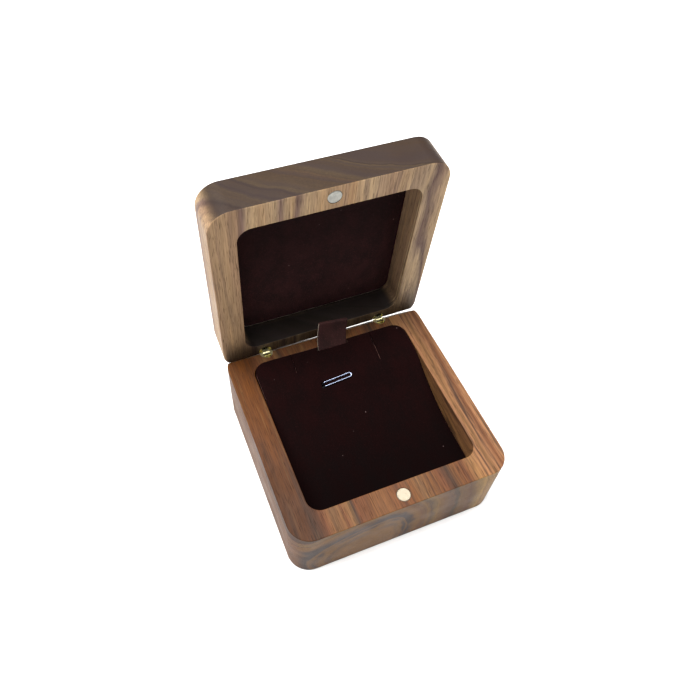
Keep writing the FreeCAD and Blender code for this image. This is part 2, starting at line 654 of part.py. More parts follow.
def tab_strip(name, inner, inner_expr, outer, outer_expr, round_foot=False):
    """A curved strip between two radii about the tab's centre of curvature.

    A round foot ends in a half circle, and the tab folds about its centre.
    """
    body = new_body(name)
    foot, tip = math.radians(TAB_LEAN_FOOT), math.radians(TAB_LEAN_TIP)
    profile = new_sketch(body, "YZ", "{tab_centre} - {tab_width} / 2")
    for r in (inner, outer):
        circle = Part.Circle(TAB_CENTRE, V(0, 0, 1), r)
        profile.addGeometry(Part.ArcOfCircle(circle, -foot, -tip), False)
    tip_way = V(math.cos(tip), -math.sin(tip), 0)
    foot_way = V(math.cos(foot), -math.sin(foot), 0)
    profile.addGeometry(
        Part.LineSegment(TAB_CENTRE + tip_way * inner, TAB_CENTRE + tip_way * outer), False)
    if round_foot:
        half = (outer - inner) / 2
        circle = Part.Circle(TAB_CENTRE + foot_way * (inner + half), V(0, 0, 1), half)
        profile.addGeometry(Part.ArcOfCircle(circle, math.pi - foot, 2 * math.pi - foot), False)
    else:
        profile.addGeometry(
            Part.LineSegment(TAB_CENTRE + foot_way * inner, TAB_CENTRE + foot_way * outer), False)
    foot_join = "Tangent" if round_foot else "Coincident"
    for join, piece, end in ((foot_join, 3, 1), ("Coincident", 2, 2)):
        profile.addConstraint(Sketcher.Constraint(join, piece, 1, 0, end))
        profile.addConstraint(Sketcher.Constraint(join, piece, 2, 1, end))
    profile.addConstraint(Sketcher.Constraint("Coincident", 0, 3, 1, 3))
    bind(profile, "Radius", (0,), inner, inner_expr)
    bind(profile, "Radius", (1,), outer, outer_expr)
    bind(profile, "DistanceX", (-1, 1, 0, 3), TAB_CENTRE.x,
         "{tab_foot} - {tab_radius} * cos(%g deg)" % TAB_LEAN_FOOT)
    bind(profile, "DistanceY", (-1, 1, 0, 3), TAB_CENTRE.y,
         "{base_height} - {tab_foot_depth} + {tab_radius} * sin(%g deg)" % TAB_LEAN_FOOT)
    profile.addConstraint(Sketcher.Constraint("Angle", 2, -tip))
    profile.addConstraint(Sketcher.Constraint("PointOnObject", 0, 3, 2))
    if round_foot:
        bind(profile, "DistanceX", (0, 3, 3, 3), (inner + half) * foot_way.x,
             "({tab_radius} + {tab_core_thickness} / 2) * cos(%g deg)" % TAB_LEAN_FOOT)
    else:
        profile.addConstraint(Sketcher.Constraint("Angle", 3, -foot))
        profile.addConstraint(Sketcher.Constraint("PointOnObject", 0, 3, 3))
    pad(body, profile, "{tab_width}")
    return body


keep(tab_strip("tab_core", D["tab_radius"], "{tab_radius}",
               D["tab_radius"] + D["tab_core_thickness"], "{tab_radius} + {tab_core_thickness}",
               round_foot=True), "tab_core")
keep(tab_strip("tab_velvet", D["tab_radius"] - D["glue_gap"] - D["tab_velvet_thickness"],
               "{tab_radius} - {glue_gap} - {tab_velvet_thickness}",
               D["tab_radius"] - D["glue_gap"], "{tab_radius} - {glue_gap}"), "tab_velvet")

# ---------------------------------------------------------------- wire clip

def wire_clip():
    """A hairpin of round wire: two legs, a closed round end, and roots bent down to two outward feet.

    Drawn with its root at the origin, its legs along +X and the insert's face at z = 0. The feet
    lie on one line, and the clip swings about it.
    """
    bend, reach, half = D["clip_bend"], D["clip_length"], D["clip_spacing"] / 2
    lift = D["wire_diameter"] / 2 + WIRE_LIFT
    shoulder = lift - bend
    pieces = []

    def rod(length_expr, position, direction):
        piece = doc.addObject("Part::Cylinder", "rod")
        piece.setExpression("Radius", dim("{wire_diameter} / 2"))
        piece.setExpression("Height", dim(length_expr))
        piece.Placement = FreeCAD.Placement(position, FreeCAD.Rotation(V(0, 0, 1), direction))
        pieces.append(piece)

    def bow(radius_expr, sweep, placement):
        piece = doc.addObject("Part::Torus", "bow")
        piece.setExpression("Radius1", dim(radius_expr))
        piece.setExpression("Radius2", dim("{wire_diameter} / 2"))
        piece.Angle3 = sweep
        piece.Placement = placement
        pieces.append(piece)

    quarter = FreeCAD.Rotation(V(1, 0, 0), 90) * FreeCAD.Rotation(V(0, 0, 1), 90)
    for side in (-1, 1):
        y = side * half
        rod("{clip_length} - {clip_bend}", V(bend, y, lift), V(1, 0, 0))
        bow("{clip_bend}", 90, FreeCAD.Placement(V(bend, y, shoulder), quarter))
        rod("{clip_root_depth} + %g" % shoulder, V(0, y, shoulder), V(0, 0, -1))
        rod("{clip_foot}", V(0, y, -D["clip_root_depth"]), V(0, side, 0))
        knee = doc.addObject("Part::Sphere", "knee")
        knee.setExpression("Radius", dim("{wire_diameter} / 2"))
        knee.Placement = FreeCAD.Placement(V(0, y, -D["clip_root_depth"]), FreeCAD.Rotation())
        pieces.append(knee)
    bow("{clip_spacing} / 2", 180, FreeCAD.Placement(
        V(reach, 0, lift), FreeCAD.Rotation(V(0, 0, 1), -90)))
    clip = doc.addObject("Part::MultiFuse", "wire_clip")
    clip.Shapes = pieces
    clip.Refine = False
    return clip


clip = wire_clip()
_, _, crest_centre, crest_radius, _ = dip_curve(0)
lean = math.asin((crest_centre.x - CLIP_ROOT_Y) / crest_radius)
CLIP_ROOT = V(CLIP_ROOT_X, CLIP_ROOT_Y, crest_centre.y + crest_radius * math.cos(lean))
CLIP_TURN = (FreeCAD.Rotation(V(1, 0, 0), math.degrees(lean))
             * FreeCAD.Rotation(V(0, 0, 1), CLIP_YAW))
clip.Placement = FreeCAD.Placement(CLIP_ROOT, CLIP_TURN)
keep(clip, "wire_clip")

# ---------------------------------------------------------------- lid lining

def lining(name, height_expr, thickness_expr):
    """One flat layer of the lid's lining."""
    body = new_body(name)
    outline = new_sketch(body, "XY", height_expr)
    rounded_square(outline, D["lining_width"], D["lining_corner"], "{lining_width}", "{lining_corner}")
    pad(body, outline, thickness_expr)
    return body


POCKET_TOP = LID_RIM_EXPR + " + {lid_pocket_depth} - {glue_gap}"
keep(lining("lid_lining_board", POCKET_TOP + " - {lining_board}", "{lining_board}"),
     "lid_lining_board", lid=True)
keep(lining("lid_lining_velvet",
            POCKET_TOP + " - {lining_board} - {glue_gap} - {lining_velvet}", "{lining_velvet}"),
     "lid_lining_velvet", lid=True)

# ---------------------------------------------------------------- checks and export
doc.recompute()
for obj in doc.Objects:
    state = [word for word in obj.State if word in ("Invalid", "Error")]
    if state:
        raise ValueError("%s (%s) is %s" % (obj.Name, obj.Label, state))

os.makedirs("parts", exist_ok=True)
for obj in subparts:
    shape = obj.Shape
    if shape.isNull() or not shape.isValid():
        raise ValueError("%s has no valid shape" % obj.Label)
    shape.exportStep("parts/%s.step" % obj.Label)
    box = shape.BoundBox
    print("%-18s solids %d  volume %9.2f  x %.2f..%.2f  y %.2f..%.2f  z %.2f..%.2f" % (
        obj.Label, len(shape.Solids), shape.Volume,
        box.XMin, box.XMax, box.YMin, box.YMax, box.ZMin, box.ZMax))
clip_pivot = CLIP_ROOT + CLIP_TURN.multVec(V(0, 0, -D["clip_root_depth"]))
print("clip pivot", tuple(round(c, 4) for c in clip_pivot), "axis",
      tuple(round(c, 5) for c in CLIP_TURN.multVec(V(0, -1, 0))))
tab_reach = D["tab_radius"] + D["tab_core_thickness"] / 2
print("tab pivot y %.4f z %.4f" % (TAB_CENTRE.x + tab_reach * math.cos(math.radians(TAB_LEAN_FOOT)),
                                   TAB_CENTRE.y - tab_reach * math.sin(math.radians(TAB_LEAN_FOOT))))
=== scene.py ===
import json
import math

import bmesh
import bpy
from mathutils import Matrix, Vector, noise


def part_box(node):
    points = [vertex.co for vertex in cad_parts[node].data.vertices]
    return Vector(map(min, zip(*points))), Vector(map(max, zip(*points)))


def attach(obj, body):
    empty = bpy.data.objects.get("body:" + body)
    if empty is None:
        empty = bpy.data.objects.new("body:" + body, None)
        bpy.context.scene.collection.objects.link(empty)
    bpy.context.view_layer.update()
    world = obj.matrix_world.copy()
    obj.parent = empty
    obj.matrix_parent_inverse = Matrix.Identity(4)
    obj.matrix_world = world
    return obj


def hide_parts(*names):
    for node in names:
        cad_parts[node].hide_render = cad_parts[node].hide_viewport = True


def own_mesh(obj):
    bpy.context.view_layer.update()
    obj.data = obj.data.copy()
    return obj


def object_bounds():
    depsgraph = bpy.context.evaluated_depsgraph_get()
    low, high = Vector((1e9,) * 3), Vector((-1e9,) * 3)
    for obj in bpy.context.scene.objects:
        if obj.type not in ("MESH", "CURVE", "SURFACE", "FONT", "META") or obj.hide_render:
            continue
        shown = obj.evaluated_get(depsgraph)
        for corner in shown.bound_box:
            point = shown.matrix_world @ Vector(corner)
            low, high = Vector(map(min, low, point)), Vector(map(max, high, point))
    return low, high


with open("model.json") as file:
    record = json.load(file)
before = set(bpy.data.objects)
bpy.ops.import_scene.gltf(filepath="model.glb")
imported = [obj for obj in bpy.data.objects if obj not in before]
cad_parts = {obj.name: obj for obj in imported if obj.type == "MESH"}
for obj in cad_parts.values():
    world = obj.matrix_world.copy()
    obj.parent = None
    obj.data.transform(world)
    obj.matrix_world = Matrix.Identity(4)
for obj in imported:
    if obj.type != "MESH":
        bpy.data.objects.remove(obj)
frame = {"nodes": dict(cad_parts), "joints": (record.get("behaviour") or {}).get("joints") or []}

CAD_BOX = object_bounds()
NODES = frame["nodes"]
MM = 0.001

# Camera: a hand-held view from the front left, looking down into the open box.
CAMERA_PLACE = (-0.062637, -0.104958, 0.224946)
CAMERA_AZIMUTH = -23.941
CAMERA_ELEVATION = 54.038
CAMERA_ROLL = 2.794
CAMERA_LENS = 32.711
CAMERA_SHIFT = (0.03956, 0.01265)

# The insert, its openings and the lid's lining, in millimetres.
DIP_START = -20.0
DIP_RADIUS = 69.4
CREST_RADIUS = 21.4
VELVET = 0.5
INSERT_CORNER = 4.5
SLIT_WIDTH = 0.22
SLIT_LENGTHS = (8.5, 13.2)
SLIT_LEAN = 0.078  # sideways for each mm forward of the rear edge
SLIT_REACH = 5.0  # how far to either side of a slit the velvet goes with it
SLITS = (-15.6, 17.0)
NOTCH = (-4.9, 7.5)
NOTCH_FRONT = 28.9
REAR_LEFT_LIFT = 0.8
REAR_START = 12.0  # behind this the cover leans and lifts
REAR_FADE = 4.0
LIFT_FULL_X = 22.0  # the lift is whole from here to the left edge
CLIP_SLOT_CENTRE = (-8.65, 14.4)
CLIP_SLOT_SIZE = (1.2, 2.2)
LINING_CORNER = 4.7
LINING_TRIM = 0.5
CORNERS_FROM = 20.0  # columns further out than this close in round the corners

# The pull tab, in millimetres.
TAB_RADIUS = 24.0
TAB_CARD = 0.6
TAB_VELVET = 0.35
TAB_LEAN_FOOT = 35.0
TAB_LEAN_TIP = 9.0
TAB_TILT = 8.0
TAB_TURNED_LEANS = (10.0, 11.0, 12.0)  # down the back, where the velvet ends
GLUE = 0.02


# ---------------------------------------------------------------- frame helpers

def box_mm(node):
    """A CAD node's rest box in millimetres."""
    low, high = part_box(node)
    return low / MM, high / MM


def lid_hinge():
    """The record's lid joint."""
    return next(joint for joint in frame["joints"] if joint["name"] == "lid_open")


def closing_turn():
    """The matrix, in metres, that carries the lid from its rest pose to its closed one."""
    joint = lid_hinge()
    pivot = Vector(joint["pos_m"])
    turn = Matrix.Rotation(math.radians(min(joint["range_deg"])), 4, Vector(joint["axis"]))
    return Matrix.Translation(pivot) @ turn @ Matrix.Translation(-pivot)


CLOSE_LID = closing_turn()
OPEN_LID = CLOSE_LID.inverted()


def closed_box_mm(node):
    """A lid node's box in millimetres with the lid closed."""
    points = [CLOSE_LID @ v.co for v in NODES[node].data.vertices]
    low = Vector(min(p[i] for p in points) for i in range(3))
    high = Vector(max(p[i] for p in points) for i in range(3))
    return low / MM, high / MM


# ---------------------------------------------------------------- mesh helpers

def make_object(name, bm, material, smooth=True):
    """Turn a bmesh in millimetres into an object in metres."""
    bmesh.ops.scale(bm, vec=(MM, MM, MM), verts=bm.verts)
    bmesh.ops.recalc_face_normals(bm, faces=bm.faces)
    mesh = bpy.data.meshes.new(name)
    bm.to_mesh(mesh)
    bm.free()
    for polygon in mesh.polygons:
        polygon.use_smooth = smooth
    mesh.materials.append(material)
    obj = bpy.data.objects.new(name, mesh)
    bpy.context.scene.collection.objects.link(obj)
    return obj


def spaced_lines(start, end, pitch, marks):
    """Grid lines from start to end, with extra ones closing in on each mark."""
    count = round((end - start) / pitch)
    lines = [start + (end - start) * i / count for i in range(count + 1)]
    near = (0.0, 0.1, 0.25, 0.5)
    clear = near[-1] + 0.2
    lines = [a for a in lines if all(abs(a - mark) > clear for mark in marks)]
    for mark in marks:
        for step in near:
            lines += [a for a in {mark - step, mark + step} if start <= a <= end]
    return sorted({round(a, 4) for a in lines})


def corner_reach(half, corner, y):
    """Half the width of a rounded square at a distance y from its middle."""
    into = abs(y) - (half - corner)
    if into <= 0:
        return half
    return half - corner + math.sqrt(max(corner * corner - into * into, 0.0))


def round_corner(x, reach, half):
    """Where a column goes in a row that reaches less far out than half the width."""
    if abs(x) <= CORNERS_FROM:
        return x
    beyond = (abs(x) - CORNERS_FROM) * (reach - CORNERS_FROM) / (half - CORNERS_FROM)
    return math.copysign(CORNERS_FROM + beyond, x)


def corner_lines(half, corner, steps=9):
    """Grid lines that follow a corner's arc."""
    return [half - corner + corner * math.sin(math.pi / 2 * i / steps) for i in range(steps)]


def outline_gap(x, y, half, corner):
    """Distance inside a rounded square's outline."""
    a = abs(x) - (half - corner)
    b = abs(y) - (half - corner)
    outside = math.hypot(max(a, 0.0), max(b, 0.0))
    return corner - outside - min(max(a, b), 0.0)


def opening_gap(x, y, opening):
    """Distance outside a rectangular opening (x0, x1, y0, y1)."""
    x0, x1, y0, y1 = opening
    return math.hypot(max(x0 - x, x - x1, 0.0), max(y0 - y, y - y1, 0.0))


def slab(name, columns, rows, place, keep_cell, top, bottom, material):
    """A thin layer on a grid: a shaped top, its underside, and walls along every free edge.

    place maps a grid point to its x and y; top and bottom give heights there.
    """
    bm = bmesh.new()
    layers = []
    for height in (top, bottom):
        layers.append({
            (i, j): bm.verts.new((*place(x, y), height(*place(x, y))))
            for i, x in enumerate(columns) for j, y in enumerate(rows)
        })
    edges = {}
    for i in range(len(columns) - 1):
        for j in range(len(rows) - 1):
            middle = ((columns[i] + columns[i + 1]) / 2, (rows[j] + rows[j + 1]) / 2)
            if not keep_cell(*middle):
                continue
            corners = [(i, j), (i + 1, j), (i + 1, j + 1), (i, j + 1)]
            bm.faces.new([layers[0][c] for c in corners])
            bm.faces.new([layers[1][c] for c in reversed(corners)])
            for a, b in zip(corners, corners[1:] + corners[:1]):
                if (b, a) in edges:
                    del edges[(b, a)]
                else:
                    edges[(a, b)] = True
    for a, b in edges:
        bm.faces.new([layers[0][b], layers[0][a], layers[1][a], layers[1][b]])
    loose = [v for v in bm.verts if not v.link_faces]
    bmesh.ops.delete(bm, geom=loose, context="VERTS")
    return make_object(name, bm, material)


def rolled(gap, drop=0.26, reach=0.3):
    """How far a cut edge of velvet rolls down, at a distance from the cut."""
    return drop * math.exp(-(gap / reach) ** 2)


def unevenness(x, y, scale, height, seed):
    """A gentle rise and fall of a glued surface."""
    return height * noise.noise(Vector((x / scale, y / scale, seed)))


# ---------------------------------------------------------------- material helpers

def rgb(red, green, blue):
    """A display colour, 0 to 255, as the linear colour that shaders take."""
    def linear(value):
        value /= 255
        return value / 12.92 if value <= 0.04045 else ((value + 0.055) / 1.055) ** 2.4
    return (linear(red), linear(green), linear(blue), 1.0)


class Shader:
    """A material's nodes, added one call at a time."""

    def __init__(self, name):
        self.material = bpy.data.materials.new(name)
        self.material.use_nodes = True
        self.tree = self.material.node_tree
        self.tree.nodes.clear()

    def set(self, socket, value):
        if isinstance(value, bpy.types.NodeSocket):
            self.tree.links.new(value, socket)
        else:
            socket.default_value = value

    def add(self, kind, inputs=(), **settings):
        node = self.tree.nodes.new("ShaderNode" + kind)
        for key, value in settings.items():
            setattr(node, key, value)
        for key, value in dict(inputs).items():
            self.set(node.inputs[key], value)
        return node

    def calc(self, operation, a, b=0.0, c=0.0):
        return self.add("Math", {0: a, 1: b, 2: c}, operation=operation).outputs[0]

    def clamped(self, value):
        return self.add("Math", {0: value, 1: 0.0}, operation="ADD", use_clamp=True).outputs[0]

    def scaled(self, vector, scale):
        return self.add("VectorMath", {0: vector, 1: scale}, operation="MULTIPLY").outputs[0]

    def split(self, vector):
        return self.add("SeparateXYZ", {0: vector}).outputs

    def joined(self, x, y, z):
        return self.add("CombineXYZ", {0: x, 1: y, 2: z}).outputs[0]

    def span(self, value, low, high, to_low=0.0, to_high=1.0):
        """Carry a range of values to another, smoothly and without passing its ends."""
        node = self.add("MapRange", {0: value, 1: low, 2: high, 3: to_low, 4: to_high},
                        interpolation_type="SMOOTHSTEP")
        return node.outputs[0]

    def noise(self, vector, scale=1.0, detail=2.0, roughness=0.5):
        inputs = {"Vector": vector, "Scale": scale, "Detail": detail, "Roughness": roughness}
        return self.add("TexNoise", inputs).outputs[0]

    def cells(self, vector, scale=1.0):
        return self.add("TexVoronoi", {"Vector": vector, "Scale": scale}).outputs

    def ramp(self, value, stops, start=0.0, end=1.0):
        """A colour that runs through the stops, given as (position, colour), from start to end."""
        part = self.add("MapRange", {0: value, 1: start, 2: end}).outputs[0]
        node = self.add("ValToRGB", {0: part})
        elements = node.color_ramp.elements
        while len(elements) < len(stops):
            elements.new(1.0)
        for element, (position, colour) in zip(elements, stops):
            element.position = (position - start) / (end - start)
            element.color = colour
        return node.outputs[0]

    def mix(self, factor, a, b, blend="MIX"):
        node = self.add("Mix", data_type="RGBA", blend_type=blend, clamp_factor=True)
        self.set(node.inputs[0], factor)
        self.set(node.inputs[6], a)
        self.set(node.inputs[7], b)
        return node.outputs[2]

    def dimmed(self, colour, amount):
        """A colour times a grey amount."""
        return self.add("VectorMath", {0: colour, "Scale": amount}, operation="SCALE").outputs[0]

    def bump(self, height, distance, strength=1.0, normal=None):
        inputs = {"Height": height, "Distance": distance, "Strength": strength}
        if normal:
            inputs["Normal"] = normal
        return self.add("Bump", inputs).outputs[0]

    def finish(self, inputs):
        surface = self.add("BsdfPrincipled", inputs)
        self.add("OutputMaterial", {"Surface": surface.outputs[0]})
        return self.material

    def object_mm(self, turn=None):
        """Object coordinates in millimetres, carried through a turn given in metres."""
        turn = turn or Matrix.Identity(4)
        place = self.add("TexCoord").outputs["Object"]
        return self.add("Mapping", {
            "Vector": place,
            "Location": turn.to_translation() / MM,
            "Rotation": turn.to_euler(),
            "Scale": (1 / MM, 1 / MM, 1 / MM),
        }, vector_type="POINT").outputs[0]


# ---------------------------------------------------------------- wood

GOLD = rgb(150, 90, 32)
GOLD_DEEP = rgb(128, 74, 24)
ORANGE = rgb(165, 112, 72)
RUSSET = rgb(151, 96, 68)
TAN = rgb(176, 132, 96)
PINK = rgb(223, 165, 132)
SHADE = rgb(96, 72, 64)
PALE = rgb(190, 150, 105)
OLIVE = rgb(164, 134, 100)
STRAW = rgb(182, 154, 118)
MAUVE = rgb(118, 94, 84)
HAZEL = rgb(150, 120, 92)
BLUSH = rgb(210, 159, 117)

BASE_FIGURE = [
    (-42, GOLD_DEEP), (-36, GOLD), (-31, GOLD_DEEP), (-28, RUSSET), (-25, TAN), (-21.5, RUSSET),
    (-19.6, TAN), (-17.7, SHADE), (-15.6, RUSSET), (-9, ORANGE), (-2, RUSSET), (3, ORANGE),
    (6, TAN), (10, ORANGE), (14.5, RUSSET), (18.0, SHADE), (20, ORANGE), (24, RUSSET), (28, BLUSH),
    (31.5, PINK), (33, TAN), (34.2, PINK), (36.4, RUSSET), (37.2, PINK), (42, TAN),
]
LID_FIGURE = [
    (-42, HAZEL), (-36, OLIVE), (-31, HAZEL), (-28.7, MAUVE), (-26.5, STRAW), (-22, OLIVE),
    (-18.6, STRAW), (-17.4, MAUVE), (-16, STRAW), (-13.2, OLIVE), (-12, MAUVE), (-10.4, STRAW),
    (-5, OLIVE), (2, HAZEL), (4.4, PALE), (7, OLIVE), (12, STRAW), (19, HAZEL), (25, OLIVE),
    (31.5, STRAW), (33.6, SHADE), (35, OLIVE), (38, STRAW), (42, HAZEL),
]


POCKET_HALF = 31.6  # inside this the end grain gets painted shade, darkened on the pocket's walls

# How dark the end grain's clouds are, by distance from the rings' centre in mm.
BASE_CLOUDS = [
    (0, 0.1), (7, 0.15), (10, 0.6), (12.5, 0.2), (15, 0.85), (17.5, 0.95), (20, 0.45), (23, 0.1),
    (26, 0.35), (29.5, 0.6), (33, 0.15), (38, 0.3), (42, 0.6), (46, 0.2), (52, 0.4), (60, 0.2),
    (80, 0.35),
]
LID_CLOUDS = [
    (40, 0.4), (46, 0.7), (50, 0.45), (55, 0.75), (60, 0.5), (66, 0.8), (70, 0.4), (76, 0.75),
    (82, 0.5), (90, 0.8),
]


class Walnut:
    """What sets one block's walnut apart.

    rings is the rings' centre in x and z, and how far they stretch to its left and right.
    streaks is how strongly fine dark streaks show at the block's left and right.
    dim_front is how dark the left side goes towards the front, dim_rear how dark the painted
    shade on the inner faces by the hinges goes.
    tone tints the long grain; ends and cloud colour the end grain, and on the lid ends also paint shade
    on it.
    """

    def __init__(self, figure, rim, rings, streaks, dim_front, dim_rear, tone, ends, cloud, clouds,
                 turn=None):
        self.figure = figure
        self.rim = rim
        self.rings = rings
        self.streaks = streaks
        self.dim_front = dim_front
        self.dim_rear = dim_rear
        self.tone = tone
        self.ends = ends
        self.cloud = cloud
        self.clouds = clouds
        self.turn = turn


def ring_fields(s, wood, x, z, offset):
    """The distance from the rings' centre, and where each ring comes out across the rim."""
    centre_x, centre_z, to_left, to_right = wood.rings
    aside = s.calc("SUBTRACT", s.calc("ADD", x, offset), centre_x)
    right = s.calc("DIVIDE", s.calc("MAXIMUM", aside, 0.0), to_right)
    left = s.calc("DIVIDE", s.calc("MINIMUM", aside, 0.0), to_left)
    across = s.calc("ADD", right, left)
    up = s.calc("SUBTRACT", s.calc("MULTIPLY_ADD", offset, 0.4, z), centre_z)
    squared = s.calc("MULTIPLY_ADD", across, across, s.calc("MULTIPLY", up, up))
    rim_up = wood.rim - centre_z
    beyond = s.calc("SQRT", s.calc("MAXIMUM", s.calc("SUBTRACT", squared, rim_up ** 2), 0.0))
    stretch = s.calc("MULTIPLY_ADD", s.calc("GREATER_THAN", across, 0.0), to_left + to_right, -to_left)
    return s.calc("SQRT", squared), s.calc("MULTIPLY_ADD", beyond, stretch, centre_x)


def walnut(name, wood):
    """Oiled walnut with its grain along Y, its figure carried down the end faces by the rings."""
    s = Shader(name)
    place = s.object_mm(wood.turn)
    x, y, z = s.split(place)
    sway = s.noise(s.scaled(place, (0.035, 0.010, 0.035)), detail=2)
    ripple = s.noise(s.scaled(place, (0.22, 0.030, 0.22)), detail=3)
    offset = s.calc("ADD", s.calc("MULTIPLY_ADD", sway, 7.0, -3.5),
                    s.calc("MULTIPLY_ADD", ripple, 2.2, -1.1))
    radius, band = ring_fields(s, wood, x, z, offset)
    colour = s.ramp(band, wood.figure, -42.0, 42.0)

    grain_way = (wood.turn or Matrix.Identity(4)).inverted().to_3x3() @ Vector((0, 1, 0))
    facing = s.add("VectorMath", {0: s.add("TexCoord").outputs["Normal"], 1: grain_way},
                   operation="DOT_PRODUCT").outputs["Value"]
    end = s.span(s.calc("ABSOLUTE", facing), 0.45, 0.92)

    # Growth rings: a slow rise to a fine dark line.
    part = s.calc("FRACT", s.calc("DIVIDE", radius, 1.9))
    line = s.calc("MULTIPLY", s.span(part, 0.35, 0.93), s.span(part, 1.0, 0.94))
    ring_noise = s.noise(s.joined(s.calc("MULTIPLY", radius, 0.45), s.calc("MULTIPLY", y, 0.012), 3.0),
                         detail=2)
    ring_strength = s.calc("MULTIPLY", s.span(ring_noise, 0.38, 0.68, 0.05, 0.42),
                           s.calc("MULTIPLY_ADD", end, -0.7, 1.0))
    colour = s.mix(s.calc("MULTIPLY", line, ring_strength), colour, SHADE)

    # Pigment streaks of the heartwood, long along the grain.
    flow = s.joined(s.calc("MULTIPLY", band, 0.55), s.calc("MULTIPLY", y, 0.020),
                    s.calc("MULTIPLY", radius, 0.50))
    pigment = s.noise(flow, detail=4, roughness=0.62)
    where = s.calc("MULTIPLY", s.span(x, -38.0, 38.0, *wood.streaks),
                   s.calc("MULTIPLY_ADD", end, -0.6, 1.0))
    dark_streak = s.calc("MULTIPLY", s.span(pigment, 0.50, 0.68), where)
    colour = s.mix(dark_streak, colour, SHADE)
    light_streak = s.calc("MULTIPLY", s.span(pigment, 0.46, 0.30), 0.35)
    colour = s.mix(light_streak, colour, PALE)

    # Fibres and pores: hair-fine along the grain, dots on the ends.
    fibre = s.noise(s.scaled(place, (2.6, 0.07, 2.6)), detail=3, roughness=0.6)
    colour = s.dimmed(colour, s.span(fibre, 0.25, 0.75, 0.74, 1.24))
    pore = s.span(s.noise(s.scaled(place, (5.5, 0.22, 5.5)), detail=1), 0.57, 0.70)
    colour = s.mix(s.calc("MULTIPLY", pore, 0.6), colour, rgb(56, 36, 28))
    colour = s.mix(1.0, colour, wood.tone, "MULTIPLY")
    to_front = s.calc("MULTIPLY", s.span(y, 22.0, -30.0), s.span(band, -27.0, -31.0))
    colour = s.dimmed(colour, s.calc("MULTIPLY_ADD", to_front, wood.dim_front - 1.0, 1.0))
    # Painted shade: the inner faces by the hinges, and the pocket's wall there, are darkened.
    by_hinges = s.calc("MULTIPLY", s.span(y, 20.0, 33.5), s.span(y, 39.0, 37.0))
    deep = s.calc("ABSOLUTE", s.calc("SUBTRACT", z, wood.rim))
    inside = s.calc("MULTIPLY", s.span(deep, 9.5, 8.0), s.span(s.calc("ABSOLUTE", x), 39.5, 38.0))
    painted_hinge_shade = s.calc("MULTIPLY", by_hinges, inside)
    colour = s.dimmed(colour, s.calc("MULTIPLY_ADD", painted_hinge_shade, wood.dim_rear - 1.0, 1.0))

    # End grain has its own tint, and darker, greyer clouds that follow the rings.
    first, last = wood.clouds[0][0], wood.clouds[-1][0]
    levels = [(place_mm, (level, level, level, 1.0)) for place_mm, level in wood.clouds]
    wander = s.noise(s.scaled(place, (0.11, 0.04, 0.16)), detail=3, roughness=0.55)
    cloud = s.ramp(s.calc("MULTIPLY_ADD", wander, 11.0, s.calc("SUBTRACT", radius, 5.5)), levels,
                   first, last)
    patchy = s.noise(s.joined(s.calc("MULTIPLY", band, 0.09), 8.0, s.calc("MULTIPLY", radius, 0.3)),
                     detail=3, roughness=0.6)
    cloud = s.calc("MULTIPLY", cloud, s.span(patchy, 0.34, 0.58, 0.3, 1.2))
    clouded = s.mix(s.clamped(cloud), s.mix(1.0, colour, wood.ends, "MULTIPLY"), wood.cloud)
    # Painted shade: the end grain inside the pocket is darkened.
    painted_pocket_shade = s.calc("LESS_THAN", s.calc("ABSOLUTE", y), POCKET_HALF)
    clouded = s.dimmed(clouded, s.calc("MULTIPLY_ADD", painted_pocket_shade, -0.55, 1.0))
    colour = s.mix(end, colour, clouded)

    # Edges are a little paler: partly wear, partly a painted highlight along them.
    softened = s.add("Bevel", {"Radius": 0.7 * MM}, samples=4).outputs[0]
    same = s.add("VectorMath", {0: softened, 1: s.add("NewGeometry").outputs["Normal"]},
                 operation="DOT_PRODUCT").outputs["Value"]
    edge_wear_and_highlight = s.calc("MULTIPLY", s.span(same, 0.995, 0.90), s.span(ripple, 0.35, 0.6, 0.1, 0.35))
    colour = s.mix(edge_wear_and_highlight, colour, s.mix(1.0, colour, (1.7, 1.65, 1.55, 1.0), "MULTIPLY"))

    smudge = s.noise(s.scaled(place, (0.11, 0.06, 0.11)), detail=2)
    roughness = s.calc("ADD", s.span(smudge, 0.3, 0.7, 0.46, 0.58), s.calc("MULTIPLY", pore, 0.15))
    height = s.calc("SUBTRACT", s.calc("MULTIPLY", fibre, 0.6), pore)
    return s.finish({
        "Base Color": colour,
        "Roughness": roughness,
        "Specular IOR Level": 0.18,
        "Normal": s.bump(height, 0.03 * MM, 0.6),
    })


# ---------------------------------------------------------------- fabric, card and foam

PILE_PAINTED_LIGHT_AND_SHADE = (-28.0, 30.0, 0.6, 2.0)  # from y to y in mm, and how light the pile is at each: painted shade at the front, painted light at the rear
